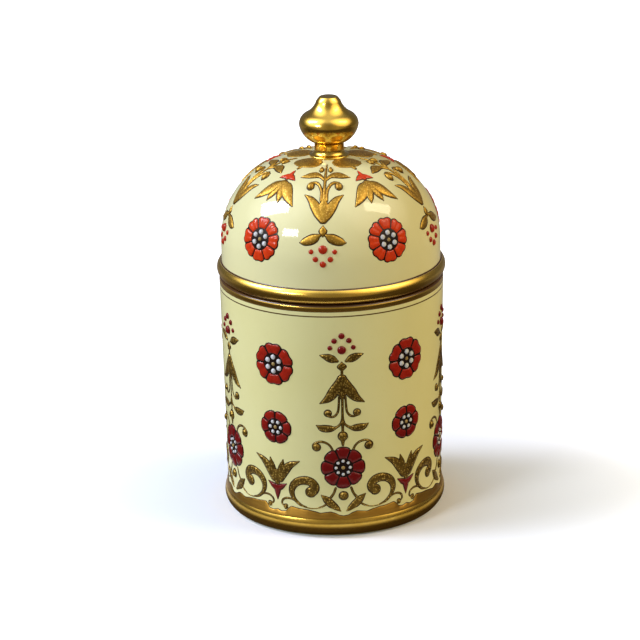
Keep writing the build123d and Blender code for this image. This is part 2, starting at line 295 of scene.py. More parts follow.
def porcelain(name, cream, gilt_bands, line_and_seam_shade_bands, gilt_from):
    """Cream glaze with gilt bands and brown bands outside a radius: thin drawn lines, and painted
    shade in the seam between the rim and the cover's bead. The glaze is a little darker where it
    pools, with a few flecks, and lies in faint ripples."""
    material, shader, place = new_material(name)
    apart = node(material, "SeparateXYZ", Vector=place)
    height = math_node(material, "MULTIPLY", apart.outputs["Z"], 1 / MM)
    flat = node(material, "CombineXYZ", X=apart.outputs["X"], Y=apart.outputs["Y"])
    reach = node(material, "VectorMath", operation="LENGTH", _0=flat.outputs[0]).outputs["Value"]
    outside = math_node(material, "GREATER_THAN", reach, gilt_from * MM)
    glaze = mixed(material, grain(material, place, 42.0, roughness=0.55), *cream)
    specks = grain(material, place, 900.0, detail=2.0, roughness=0.5)
    fleck = soft_step(material, specks, middle=0.8, width=1 / 3)
    glaze = mixed(material, math_node(material, "MULTIPLY", fleck, FLECK_SHARE), glaze, CREAM_FLECK)
    gilt = math_node(material, "MULTIPLY", banded(material, height, gilt_bands, GILT_EDGE), outside)
    # line: the drawn brown lines, and the painted shade in the seam under the bead.
    line = math_node(material, "MULTIPLY", banded(material, height, line_and_seam_shade_bands, LINE_EDGE), outside)
    brushed = grain(material, place, 260.0, detail=4.0)
    colour = mixed(material, gilt, glaze, mixed(material, brushed, GOLD_LIGHT, GOLD_DEEP))
    feed(material, shader["Base Color"], mixed(material, line, colour, LINE_AND_SEAM_SHADE_BROWN))
    feed(material, shader["Metallic"], math_node(material, "SUBTRACT", gilt, line, clamp=True))
    worn = math_node(material, "MULTIPLY_ADD", brushed, GILT_WEAR, GILT_ROUGHNESS)
    rough = math_node(material, "MULTIPLY_ADD", gilt, worn, GLAZE_ROUGHNESS)
    feed(material, shader["Roughness"], rough)
    shader["IOR"].default_value = 1.5
    ripple = grain(material, place, 120.0, detail=2.0, roughness=0.5)
    bumped(material, shader, ripple, strength=0.10, distance=0.0002)
    return material


jar = turned("jar_body", jar_section())
jar.data.materials.append(porcelain("jar_glaze", JAR_CREAM, JAR_GILT, JAR_LINES_AND_SEAM_SHADE, JAR_GILT_FROM))
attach(jar, "jar")
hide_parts("jar")

# The cover: a thrown dome with a moulded gilt bead where it sits on the rim, and under it a flange
# that drops into the mouth. The crown is cut flat where the knob is set on.
BEAD_RADIUS = 2.4
DOME_INSET = 1.4
DOME_RADIUS = BEAD_OUTER_RADIUS - DOME_INSET
DOME_HEIGHT = 29.6
DOME_STRAIGHT = 5.5
DOME_WALL = 3.0
SHOULDER_SHARE = 0.9855  # the shoulder arc's radius over the rise of the curved part
FLANGE_CLEARANCE = 0.6
FLANGE_THICKNESS = 2.3
FLANGE_DEPTH = 6.5
FLANGE_RADIUS = wall_radius(JAR_HEIGHT) - WALL - FLANGE_CLEARANCE
FLANGE_BORE = FLANGE_RADIUS - FLANGE_THICKNESS
FLANGE_FOOT = JAR_HEIGHT - FLANGE_DEPTH
FLANGE_EDGE_ROUND = 0.8
FLANGE_COVE = (1.0, 4.6)  # the heights above the seat where the flange widens into the dome
FLANGE_COVE_ROUND = 1.5
SEAT_ROUND = 0.2
BEAD_CENTRE = (BEAD_OUTER_RADIUS - BEAD_RADIUS, JAR_HEIGHT + BEAD_RADIUS)
DOME_BASE = BEAD_CENTRE[1] + BEAD_RADIUS
SPRING = DOME_BASE + DOME_STRAIGHT
SHOULDER_RISE = DOME_HEIGHT - DOME_STRAIGHT
SHOULDER_RADIUS = SHOULDER_RISE * SHOULDER_SHARE
SHOULDER_CENTRE = (DOME_RADIUS - SHOULDER_RADIUS, SPRING)
CROWN_RADIUS = (SHOULDER_CENTRE[0] ** 2 + SHOULDER_RISE**2 - SHOULDER_RADIUS**2) / (
    2 * (SHOULDER_RISE - SHOULDER_RADIUS)
)
CROWN_CENTRE = (0, DOME_BASE + DOME_HEIGHT - CROWN_RADIUS)
MEETING_ANGLE = math.atan2(SPRING - CROWN_CENTRE[1], SHOULDER_CENTRE[0])
KNOB_FOOT_RADIUS = 5.6
KNOB_SEAT = CROWN_CENTRE[1] + math.sqrt(CROWN_RADIUS**2 - KNOB_FOOT_RADIUS**2)
COVER_CREAM = ((0.815, 0.790, 0.470, 1), (0.750, 0.718, 0.370, 1))
COVER_GILT = ((68.9, 73.3),)
# The first band is painted shade under the bead, in the seam on the rim; the second is a drawn line.
COVER_LINES_AND_SEAM_SHADE = ((68.9, 69.2), (73.3, 73.6))
COVER_GILT_FROM = 30.0


def cover_section():
    """The cover's section from the underside of the crown, down inside, round the flange and the
    bead, and up over the dome."""
    beside_bead = 0.1  # keeps the bead's smooth shading off the seat and the dome's side
    inner_crown = arc(CROWN_CENTRE, CROWN_RADIUS - DOME_WALL, math.pi / 2, MEETING_ANGLE, steps=10)
    inner_shoulder = arc(SHOULDER_CENTRE, SHOULDER_RADIUS - DOME_WALL, MEETING_ANGLE, 0, steps=26)
    flange = rounded([
        (*inner_shoulder[-1], 0),
        (DOME_RADIUS - DOME_WALL, JAR_HEIGHT + FLANGE_COVE[1], FLANGE_COVE_ROUND),
        (FLANGE_BORE, JAR_HEIGHT + FLANGE_COVE[0], FLANGE_COVE_ROUND),
        (FLANGE_BORE, FLANGE_FOOT, FLANGE_EDGE_ROUND),
        (FLANGE_RADIUS, FLANGE_FOOT, FLANGE_EDGE_ROUND),
        (FLANGE_RADIUS, JAR_HEIGHT, SEAT_ROUND),
        (BEAD_CENTRE[0] - beside_bead, JAR_HEIGHT, 0),
    ])
    join = math.acos((DOME_RADIUS - BEAD_CENTRE[0]) / BEAD_RADIUS)
    bead = arc(BEAD_CENTRE, BEAD_RADIUS, -math.pi / 2, join, steps=30)
    side = rounded([(DOME_RADIUS, bead[-1][1] + beside_bead, 0), (DOME_RADIUS, SPRING, 0)])
    shoulder = arc(SHOULDER_CENTRE, SHOULDER_RADIUS, 0, MEETING_ANGLE, steps=60)
    seat_angle = math.acos(KNOB_FOOT_RADIUS / CROWN_RADIUS)
    crown = arc(CROWN_CENTRE, CROWN_RADIUS, MEETING_ANGLE, seat_angle, steps=12)
    outer = bead + side + shoulder[1:] + crown[1:] + [(0, KNOB_SEAT)]
    return inner_crown + inner_shoulder[1:] + flange[1:] + outer


cover = turned("cover_dome", cover_section())
cover.data.materials.append(
    porcelain("cover_glaze", COVER_CREAM, COVER_GILT, COVER_LINES_AND_SEAM_SHADE, COVER_GILT_FROM)
)
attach(cover, "cover")
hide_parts("cover")

# The knob: turned porcelain with a spread foot, a short neck and a bulb that draws in like an onion to
# a small flat tip, luted on the crown and burnished gold all over.
# Heights are above the seat, and places are (radius, height).
KNOB_FOOT_EDGE = 0.5
KNOB_NECK_START = (4.15, 1.9)
KNOB_NECK_END = (4.15, 3.9)
KNOB_BULB = (8.4, 9.1)
KNOB_SHOULDER = (6.4, 12.3)
KNOB_LIP = (3.4, 15.9)
KNOB_TIP = (2.5, 17.0)
KNOB_TIP_ROUND = 0.5
KNOB_UNDER_BULGE = 0.95  # how far the underside of the bulb swells past a straight line


def knob_section():
    """The knob's section, from the middle of its foot up to the middle of its tip."""
    flare = tangent_arc(KNOB_NECK_START, (0, -1), (KNOB_FOOT_RADIUS, KNOB_FOOT_EDGE), steps=10)[::-1]
    chord = Vector(KNOB_BULB) - Vector(KNOB_NECK_END)
    outward = Vector((chord.y, -chord.x)).normalized()
    belly = (Vector(KNOB_BULB) + Vector(KNOB_NECK_END)) / 2 + outward * KNOB_UNDER_BULGE
    leaving = 2 * (belly - Vector(KNOB_NECK_END)).normalized() - chord.normalized()
    under = tangent_arc(KNOB_NECK_END, leaving, KNOB_BULB, steps=22)
    upper = tangent_arc(KNOB_BULB, (0, 1), KNOB_SHOULDER, steps=16)
    turn = Vector(upper[-1]) - Vector(upper[-2])
    hollow = tangent_arc(KNOB_SHOULDER, turn, KNOB_LIP, steps=14)
    tip = rounded([(*KNOB_LIP, 0), (*KNOB_TIP, KNOB_TIP_ROUND), (0, KNOB_TIP[1], 0)], support=0.06)
    section = [(0, 0), (KNOB_FOOT_RADIUS, 0)] + flare + under + upper[1:] + hollow[1:] + tip[1:]
    return [(radius, KNOB_SEAT + height) for radius, height in section]


def burnished_gold():
    """Bright gold leaf fired on the glaze, burnished, with fine rubbing marks and duller patches."""
    material, shader, place = new_material("burnished_gold")
    patches = grain(material, place, 180.0, detail=4.0)
    feed(material, shader["Base Color"], mixed(material, patches, GOLD_LIGHT, GOLD_DEEP))
    shader["Metallic"].default_value = 1.0
    feed(material, shader["Roughness"], math_node(material, "MULTIPLY_ADD", patches, 0.18, 0.10))
    marks = grain(material, place, 700.0, roughness=0.5)
    bumped(material, shader, marks, strength=0.12, distance=0.0001)
    return material


knob = turned("knob_turned", knob_section())
knob.data.materials.append(burnished_gold())
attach(knob, "cover")
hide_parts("knob")

# The rosettes: thick red enamel petals in a bed of black outline, round a black middle with a ring of
# white enamel pearls and a gold drop. They are built up with a brush and fired on the glaze.
REPEATS = 5  # the ornament repeats five times round the jar and round the cover
HALF_PITCH = math.pi / REPEATS
JAR_COLUMN = math.radians(4.5)  # the main column's turn from the front
COVER_COLUMN = math.radians(-4.2)
SUNK = -0.03  # the skin of a relief ends this far under the glaze


def on_wall(angle, across, up, out):
    """The point, in metres, at a distance across and up the jar's wall from a column and out of it."""
    radius = wall_radius(up)
    theta = angle + across / radius
    reach = (radius + out * math.cos(WALL_LEAN)) * MM
    height = (up - out * math.sin(WALL_LEAN)) * MM
    return (reach * math.sin(theta), -reach * math.cos(theta), height)


def on_dome(angle, across, up, out):
    """The same on the dome, where up is the arc length above the bead."""
    shoulder_end = DOME_STRAIGHT + SHOULDER_RADIUS * MEETING_ANGLE
    if up < DOME_STRAIGHT:
        radius, height, lean = DOME_RADIUS, DOME_BASE + up, 0.0
    elif up < shoulder_end:
        lean = (up - DOME_STRAIGHT) / SHOULDER_RADIUS
        radius, height = arc(SHOULDER_CENTRE, SHOULDER_RADIUS, lean, lean, 1)[0]
    else:
        lean = MEETING_ANGLE + (up - shoulder_end) / CROWN_RADIUS
        radius, height = arc(CROWN_CENTRE, CROWN_RADIUS, lean, lean, 1)[0]
    theta = angle + across / radius
    reach = (radius + out * math.cos(lean)) * MM
    return (reach * math.sin(theta), -reach * math.cos(theta), (height + out * math.sin(lean)) * MM)


# Sections from the edge inwards or along a petal: (share of the width, share of the rise), where a
# share of 0 ends the skin under the glaze.
DROP_SECTION = ((1.0, 0), (0.97, 0.25), (0.86, 0.55), (0.62, 0.83), (0.32, 0.97), (0.06, 1.0))
PETAL_SECTION = ((0.0, 0), (0.05, 0.6), (0.16, 0.88), (0.36, 1.0), (0.60, 0.97), (0.80, 0.86),
                 (0.93, 0.60), (1.0, 0))
BED_SECTION = ((1.0, 0), (0.985, 0.7), (0.95, 1.0), (0.5, 1.0), (0.05, 1.0))
STROKE_SECTION = (-1, -0.93, -0.75, -0.4, 0, 0.4, 0.75, 0.93, 1)  # across it, in half widths
STROKE_ENDS = (0.35, 0.7, 0.92, 0.995)  # past each end, in half widths
THINNEST = 0.04
STEEPEST = 0.75  # a stroke rises by no more than this share of its half width
OUTLINE_SHOULDER = 2.5  # an outline has its full rise from its widest half width over this up
LEAST_OUTLINE = 0.45  # the share of grow that shows beside the thinnest stroke
OUTLINE_GAIN = 0.7  # more of it for each millimetre of half width
PETAL_SPREAD = 0.985  # of a petal's share of the circle
LOBE_ROUND = 0.10
NOTCH_WIDTH = 0.28
CREASE_WIDTH = 0.2
NOTCHED_CREASE = 0.35
PLAIN_CREASE = 0.12
SLIGHT_NOTCH = 0.03
PETAL_GAP = 0.05  # from a petal's side to the line between it and the next


class Relief:
    """The vertices and faces of one sector of an ornament, gathered motif by motif."""

    def __init__(self, place):
        self.place = place
        self.vertices = []
        self.faces = []

    def rings(self, angle, rings):
        """Joins rings of (across, up, out) points into one closed skin."""
        first = len(self.vertices)
        count = len(rings[0])
        for ring in rings:
            self.vertices += [self.place(angle, *point) for point in ring]
        for number in range(len(rings) - 1):
            low = first + number * count
            for step in range(count):
                following = (step + 1) % count
                high = low + count
                self.faces.append((low + step, low + following, high + following, high + step))
        self.faces.append(tuple(range(first, first + count)))
        last = first + (len(rings) - 1) * count
        self.faces.append(tuple(range(last, last + count)))

    def drop(self, angle, across, up, radius, rise, sides=14):
        """A domed drop of enamel."""
        rings = []
        for share, level in DROP_SECTION:
            reach = radius * share
            height = rise * level if level else SUNK
            angles = [2 * math.pi * step / sides for step in range(sides)]
            rings.append([
                (across + reach * math.cos(a), up + reach * math.sin(a), height) for a in angles
            ])
        self.rings(angle, rings)

    def stroke(self, angle, path, rise, grow=0.0, steps=7):
        """A brush stroke of raised gilding along (across, up, half width) points, rounded in section
        and at its ends. grow widens it all round, for the outline under it."""
        marks = np.array(path, float)
        marks = np.vstack([2 * marks[0] - marks[1], marks, 2 * marks[-1] - marks[-2]])
        line = []
        for number in range(1, len(marks) - 2):
            before, here, there, after = marks[number - 1:number + 3]
            for step in range(steps):
                t = step / steps
                line.append(0.5 * (2 * here + (there - before) * t
                            + (2 * before - 5 * here + 4 * there - after) * t * t
                            + (3 * here - before - 3 * there + after) * t**3))
        line = np.array(line + [marks[-2]])
        along = np.gradient(line[:, :2], axis=0)
        along /= np.linalg.norm(along, axis=1)[:, None]
        widths = np.clip(line[:, 2], THINNEST, None)
        widths = widths + grow * np.clip(LEAST_OUTLINE + widths * OUTLINE_GAIN, 0, 1)
        stations = [(line[n, :2], along[n], widths[n]) for n in range(len(line))]
        for past in STROKE_ENDS:
            share = math.sqrt(1 - past**2)
            before = line[0, :2] - along[0] * widths[0] * past
            after = line[-1, :2] + along[-1] * widths[-1] * past
            stations.insert(0, (before, along[0], widths[0] * share))
            stations.append((after, along[-1], widths[-1] * share))
        widest = max(widths)
        rings = []
        for point, direction, half in stations:
            side = np.array((-direction[1], direction[0]))
            if grow:
                height = rise * min(1.0, OUTLINE_SHOULDER * half / widest)
            else:
                height = min(rise, STEEPEST * half)
            ring = []
            for t in STROKE_SECTION:
                out = SUNK if abs(t) == 1 else height * (1 - t * t) ** 0.5
                ring.append((*(point + side * half * t), out))
            rings.append(ring)
        self.rings(angle, rings)

    def petal(self, angle, middle, turn, half, inner, outer, notch, rise, steps=11):
        """A domed petal between two radii of a rosette, with a notch in its outer edge and a crease
        down its middle, deeper where it has a notch."""
        crease_depth = NOTCHED_CREASE if notch > SLIGHT_NOTCH else PLAIN_CREASE
        rings = []
        for step in range(steps):
            side = -1 + 2 * step / (steps - 1)
            edge = outer * lobe(side, notch)
            tip = half * side * PETAL_SPREAD
            fall = (1 - abs(side) ** 3) ** 0.5
            crease = 1 - crease_depth * math.exp(-((side / CREASE_WIDTH) ** 2))
            ring = []
            for share, level in PETAL_SECTION:
                radius = inner + (edge - inner) * share
                theta = turn + tip * (1 - PETAL_GAP / radius / half)
                out = SUNK + (level * crease * rise - SUNK) * fall if level else SUNK
                ring.append((radius * math.cos(theta), middle + radius * math.sin(theta), out))
            rings.append(ring)
        self.rings(angle, rings)

    def bed(self, angle, middle, turn, petals, outer, notch, grow, rise, steps=10):
        """The black bed under a rosette, lobed like its petals, with steps points to a lobe."""
        rings = []
        for share, level in BED_SECTION:
            height = rise * level if level else SUNK
            ring = []
            for step in range(petals * steps):
                side = 2 * (step % steps) / steps - 1
                radius = (outer * lobe(side, notch) + grow) * share
                theta = turn + (2 * (step // steps) + side) * math.pi / petals
                ring.append((radius * math.cos(theta), middle + radius * math.sin(theta), height))
            rings.append(ring)
        self.rings(angle, rings)


def lobe(side, notch):
    """The outer edge of a petal, as a share of the rosette's radius, from side -1 to 1 of it. It is
    rounded at both sides and notched in the middle."""
    return (1 - LOBE_ROUND * abs(side) ** 3.5) * (1 - notch * math.exp(-((side / NOTCH_WIDTH) ** 2)))


def repeat_tree():
    """Geometry Nodes: one sector of ornament, repeated evenly round the jar's axis."""
    tree = bpy.data.node_groups.new("repeat_round_the_jar", "GeometryNodeTree")
    tree.interface.new_socket("Sector", in_out="INPUT", socket_type="NodeSocketGeometry")
    tree.interface.new_socket("Repeats", in_out="INPUT", socket_type="NodeSocketInt")
    tree.interface.new_socket("Material", in_out="INPUT", socket_type="NodeSocketMaterial")
    tree.interface.new_socket("Ornament", in_out="OUTPUT", socket_type="NodeSocketGeometry")
    start = tree.nodes.new("NodeGroupInput")
    end = tree.nodes.new("NodeGroupOutput")
    stations = tree.nodes.new("GeometryNodeMeshLine")
    stations.inputs["Offset"].default_value = (0, 0, 0)
    index = tree.nodes.new("GeometryNodeInputIndex")
    pitch = tree.nodes.new("ShaderNodeMath")
    pitch.operation = "DIVIDE"
    pitch.inputs[0].default_value = 2 * math.pi
    turn = tree.nodes.new("ShaderNodeMath")
    turn.operation = "MULTIPLY"
    rotation = tree.nodes.new("ShaderNodeCombineXYZ")
    copies = tree.nodes.new("GeometryNodeInstanceOnPoints")
    realize = tree.nodes.new("GeometryNodeRealizeInstances")
    finish = tree.nodes.new("GeometryNodeSetMaterial")
    for source, target in (
        (start.outputs["Repeats"], stations.inputs["Count"]),
        (start.outputs["Repeats"], pitch.inputs[1]),
        (index.outputs[0], turn.inputs[0]),
        (pitch.outputs[0], turn.inputs[1]),
        (turn.outputs[0], rotation.inputs["Z"]),
        (stations.outputs["Mesh"], copies.inputs["Points"]),
        (start.outputs["Sector"], copies.inputs["Instance"]),
        (rotation.outputs[0], copies.inputs["Rotation"]),
        (copies.outputs[0], realize.inputs[0]),
        (realize.outputs[0], finish.inputs["Geometry"]),
        (start.outputs["Material"], finish.inputs["Material"]),
        (finish.outputs[0], end.inputs[0]),
    ):
        tree.links.new(source, target)
    return tree


REPEAT_TREE = repeat_tree()


def repeated(name, relief, material):
    """The whole ornament as a plain mesh, from one sector of it."""
    piece = piece_from(name, relief.vertices, relief.faces)
    modifier = piece.modifiers.new("repeat", "NODES")
    modifier.node_group = REPEAT_TREE
    sockets = {item.name: item.identifier for item in REPEAT_TREE.interface.items_tree}
    modifier[sockets["Repeats"]] = REPEATS
    modifier[sockets["Material"]] = material
    graph = bpy.context.evaluated_depsgraph_get()
    whole = bpy.data.meshes.new_from_object(piece.evaluated_get(graph))
    piece.modifiers.remove(modifier)
    piece.data = whole
    return piece


LOW_ROW_TOP = 0.027  # heights in metres, between which the lowest row's colour turns to the others'
NEXT_ROW_FOOT = 0.040


def enamel(name, light, deep, roughness, mottle, low=None):
    """Glossy fired enamel, deeper in patches where it lies thick, with small pits. mottle is the scale
    of the patches, and low its darker colour in the lowest row of rosettes."""
    material, shader, place = new_material(name)
    colour = mixed(material, grain(material, place, mottle), light, deep)
    if low:
        height = node(material, "SeparateXYZ", Vector=place).outputs["Z"]
        rise = node(material, "MapRange", Value=height, From_Min=LOW_ROW_TOP, From_Max=NEXT_ROW_FOOT)
        colour = mixed(material, rise.outputs[0], low, colour)
    feed(material, shader["Base Color"], colour)
    shader["Roughness"].default_value = roughness
    shader["IOR"].default_value = 1.45
    shader["Specular IOR Level"].default_value = 0.3
    pits = grain(material, place, 1500.0, detail=2.0, roughness=0.5)
    bumped(material, shader, pits, strength=0.15, distance=0.0001)
    return material


BLACK_ENAMEL = enamel("black_enamel", (0.020, 0.010, 0.008, 1), (0.007, 0.004, 0.004, 1), 0.25, 500.0)
RED_ENAMEL = enamel(
    "red_enamel", (0.46, 0.024, 0.008, 1), (0.19, 0.006, 0.004, 1), 0.14, 620.0,
    low=(0.155, 0.006, 0.006, 1),
)
ORANGE_ENAMEL = enamel(
    "orange_red_enamel", (0.80, 0.070, 0.008, 1), (0.44, 0.016, 0.005, 1), 0.14, 620.0
)
PEARL_ENAMEL = enamel("pearl_enamel", (0.72, 0.74, 0.76, 1), (0.52, 0.54, 0.58, 1), 0.2, 900.0)
DROP_GOLD = enamel("drop_gold", (0.46, 0.32, 0.12, 1), (0.26, 0.17, 0.05, 1), 0.3, 900.0)

# Turn from the column, height on the jar or arc length above the bead on the cover, outer radius,
# petals, the first petal's direction in degrees, radius of the ring of pearls, pearls, a pearl's
# radius, and the depth of the notch in a petal's edge as a share of the outer radius.
JAR_ROSETTES = (
    (0.0, 21.1, 6.15, 8, 90, 2.00, 8, 0.47, 0.0),
    (HALF_PITCH, 50.8, 6.15, 6, 90, 2.08, 6, 0.75, 0.07),
    (HALF_PITCH, 32.0, 4.85, 6, 60, 1.68, 6, 0.55, 0.0),
)
COVER_ROSETTES = ((HALF_PITCH, 12.2, 6.25, 8, 90, 2.02, 6, 0.72, 0.05),)
PEARL_TO_PETAL = 0.28
PETAL_RISE = 0.42
BED_MARGIN = 0.24
BED_RISE = 0.10
PEARL_RISE_SHARE = 0.75
GOLD_DROP_RADIUS = 0.55  # a drop in the middle of each rosette
GOLD_DROP_RISE = 0.42


def rosettes(prefix, place, column, specifications, red, red_slot):
    """The beds, petals, pearls and gold drops of a body's rosettes, as four pieces."""
    beds, petals, pearls, drops = Relief(place), Relief(place), Relief(place), Relief(place)
    for shift, up, outer, count, degrees, ring, pearl_count, pearl, notch in specifications:
        angle = column + shift
        turn = math.radians(degrees)
        half = math.pi / count
        inner = ring + pearl + PEARL_TO_PETAL
        beds.bed(angle, up, turn, count, outer, notch, BED_MARGIN, BED_RISE)
        for number in range(count):
            petals.petal(angle, up, turn + 2 * half * number, half, inner, outer, notch, PETAL_RISE)
        for number in range(pearl_count):
            direction = turn + 2 * math.pi * number / pearl_count
            across, along = ring * math.cos(direction), ring * math.sin(direction)
            pearls.drop(angle, across, up + along, pearl, pearl * PEARL_RISE_SHARE)
        drops.drop(angle, 0, up, GOLD_DROP_RADIUS, GOLD_DROP_RISE)
    for name, relief, material, replaced, slot in (
        ("rosette_beds", beds, BLACK_ENAMEL, None, "dark_red_enamel"),
        ("petals", petals, red, "petals", red_slot),
        ("pearls", pearls, PEARL_ENAMEL, "pearls", "cream_enamel"),
        ("rosette_drops", drops, DROP_GOLD, None, "gilding"),
    ):
        piece = repeated(prefix + "_" + name + "_raised", relief, material)
        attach(piece, prefix)
        if replaced:
            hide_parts(prefix + "_" + replaced)


rosettes("jar", on_wall, JAR_COLUMN, JAR_ROSETTES, RED_ENAMEL, "red_enamel")
rosettes("cover", on_dome, COVER_COLUMN, COVER_ROSETTES, ORANGE_ENAMEL, "orange_red_enamel")

# The berries: sprays of round enamel drops, each set down with a loaded brush and fired on the glaze.
# They are dark red and point up under the jar's rim, and brighter and point down above the bead.
BERRY_ENAMEL = enamel("berry_enamel", (0.235, 0.010, 0.010, 1), (0.10, 0.003, 0.003, 1), 0.14, 700.0)
CHERRY_ENAMEL = enamel("cherry_enamel", (0.56, 0.042, 0.010, 1), (0.27, 0.011, 0.004, 1), 0.14, 700.0)
BERRY_RISE_SHARE = 0.62
JAR_SPRAY_HEIGHT = 56.1
DOME_SPRAY_ARC = 11.0
BERRIES = ((0.0, 0.0, 1.25), (0.0, 4.1, 0.9), (2.05, 2.7, 0.8), (-2.05, 2.7, 0.8), (3.25, 0.65, 0.7),
           (-3.25, 0.65, 0.7))  # across, away from the big berry, radius
for prefix, place, column, up, direction, red, slot in (
    ("jar", on_wall, JAR_COLUMN, JAR_SPRAY_HEIGHT, 1, BERRY_ENAMEL, "dark_red_enamel"),
    ("cover", on_dome, COVER_COLUMN, DOME_SPRAY_ARC, -1, CHERRY_ENAMEL, "red_enamel"),
):
    berries = Relief(place)
    for across, along, radius in BERRIES:
        berries.drop(column, across, up + direction * along, radius, radius * BERRY_RISE_SHARE)
    piece = repeated(prefix + "_berries_raised", berries, red)
    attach(piece, prefix)
    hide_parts(prefix + "_berries")

# The raised gilding: tulips, leaf sprays, stems, curls, scrolls and balls of gold paste, tooled with
# fine dots, each in a thin dark brown outline. It is drawn with a brush and fired on the glaze. Small
# trefoils of red enamel stand under the tulips between the columns.
UNROLLED_RADIUS = 28.0  # lengths across the dome are angles round it, measured at this radius
GILDING_RISE = 0.32  # how far the strokes stand off the glaze
OUTLINE = 0.32  # how far the outlines show past what they go round, and how far those stand off
OUTLINE_RISE = 0.07
BALL_RISE_SHARE = 0.62
BALL_OUTLINE_RISE = 0.09
BALL_SIDES = 20
TREFOIL_RISE = 0.34
TREFOIL_OUTLINE = 0.30
TREFOIL_OUTLINE_RISE = 0.09


def on_dome_unrolled(angle, across, up, out):
    """A point on the curved part of the dome where across is an angle round it, as a length."""
    past_shoulder = up - DOME_STRAIGHT - SHOULDER_RADIUS * MEETING_ANGLE
    if past_shoulder < 0:
        radius = SHOULDER_CENTRE[0] + SHOULDER_RADIUS * math.cos((up - DOME_STRAIGHT) / SHOULDER_RADIUS)
    else:
        radius = CROWN_RADIUS * math.cos(MEETING_ANGLE + past_shoulder / CROWN_RADIUS)
    return on_dome(angle, across * radius / UNROLLED_RADIUS, up, out)


def tooled_gold(name, dot_glint, ground, brown, relief):
    """Matt raised gold tooled with fine dots whose raised tops are painted brighter as glints, and
    brown where it is worn.
    """
    material, shader, place = new_material(name)
    dots = node(material, "TexVoronoi", Vector=place, Scale=1600.0, Randomness=0.75).outputs["Distance"]
    worn = soft_step(material, grain(material, place, 420.0), middle=0.53125, width=0.3125)
    away = soft_step(material, dots, middle=0.31, width=0.2)
    # Painted glints: the brighter colour goes on the raised tops of the tooled dots.
    colour = mixed(material, away, dot_glint, mixed(material, worn, ground, brown))
    feed(material, shader["Base Color"], colour)
    shader["Metallic"].default_value = 0.75
    shader["Roughness"].default_value = 0.42
    bumped(material, shader, dots, strength=relief, distance=0.00012, invert=True)
    return material


# One tooled gold in two copies: the jar's darker ground and brown are painted shade on the upright
# wall, and the cover's lighter ones are painted light on the upturned dome.
BODY_GOLD_PAINTED_SHADE = tooled_gold(
    "tooled_gold_on_jar_painted_shade", (0.60, 0.40, 0.09, 1), (0.20, 0.118, 0.014, 1), (0.085, 0.046, 0.005, 1),
    relief=0.4,
)
DOME_GOLD_PAINTED_LIGHT = tooled_gold(
    "tooled_gold_on_cover_painted_light", (0.60, 0.37, 0.065, 1), (0.40, 0.225, 0.025, 1), (0.25, 0.125, 0.012, 1),
    relief=0.25,
)
OUTLINE_ENAMEL = enamel(
    "outline_enamel", (0.050, 0.026, 0.007, 1), (0.022, 0.010, 0.004, 1), 0.4, 700.0
)

# Strokes as (across, up, half width) points, and balls as (across, up, radius). Those of the middle
# lie on the column, and those of the sides are the right half of a pair.
JAR_MAIN_MIDDLE = (
    ((0, 49.9, 0.1), (0, 51.2, 1.15), (0, 52.5, 0.1)),
    ((0, 48.4, 0.25), (0, 50.0, 0.20)),
    ((0, 47.4, 1.30), (0, 46.0, 1.50), (0, 43.9, 1.45), (0, 42.3, 0.6)),
    ((0, 42.6, 0.22), (0, 38.0, 0.20), (0, 35.8, 0.26), (0, 34.7, 0.50), (0, 33.4, 0.24),
     (0, 31.6, 0.22)),
    ((0, 30.0, 0.9), (0, 29.0, 0.40), (0, 27.9, 0.20)),
)
JAR_MAIN_SIDES = (
    ((1.3, 52.9, 0.30), (2.4, 53.4, 0.85), (3.6, 53.9, 0.90), (4.8, 54.3, 0.55), (6.0, 54.6, 0.06)),
    ((0.6, 47.2, 0.80), (1.4, 45.6, 1.10), (2.5, 43.6, 1.35), (4.0, 41.8, 0.90), (6.2, 40.4, 0.06)),
    ((0.9, 42.3, 0.16), (1.0, 40.0, 0.17), (1.25, 38.0, 0.18), (2.0, 36.8, 0.19), (3.0, 36.4, 0.19),
     (4.2, 36.7, 0.18)),
    ((0.0, 35.0, 0.22), (1.0, 33.8, 0.20), (2.1, 33.1, 0.30), (3.2, 32.9, 0.72), (4.6, 32.9, 0.88),
     (6.0, 33.1, 0.72), (7.3, 33.8, 0.06)),
    ((2.9, 26.4, 0.17), (3.5, 27.6, 0.18), (4.5, 28.5, 0.19), (5.9, 28.95, 0.20), (7.3, 28.7, 0.20),
     (8.3, 27.9, 0.20), (8.3, 27.0, 0.20)),
    ((2.2, 14.9, 0.20), (2.8, 13.3, 0.20), (3.7, 12.0, 0.24), (4.4, 11.2, 0.24)),
    ((0.5, 7.7, 0.10), (2.0, 8.8, 0.70), (3.4, 10.0, 0.98), (4.8, 11.4, 0.84), (6.2, 12.7, 0.08)),
    ((4.9, 10.0, 0.16), (6.6, 9.0, 0.17), (8.6, 8.6, 0.18), (10.6, 8.8, 0.20), (12.4, 9.5, 0.26),
     (14.2, 11.2, 0.42), (14.9, 13.2, 0.66), (14.4, 15.1, 0.86), (12.9, 16.5, 0.98), (10.9, 17.0, 1.08),
     (9.2, 16.6, 1.12), (8.1, 15.4, 1.08), (8.2, 14.3, 1.10), (9.2, 13.6, 1.45)),
)
JAR_MAIN_BALLS = ((0, 30.6, 1.20), (0, 12.6, 1.15))
JAR_MAIN_SIDE_BALLS = ((4.1, 37.5, 0.88), (7.4, 27.3, 1.02))
JAR_BETWEEN_MIDDLE = (((0, 15.3, 0.60), (0, 16.6, 1.2), (0, 18.0, 1.0), (0, 18.9, 0.3)),)
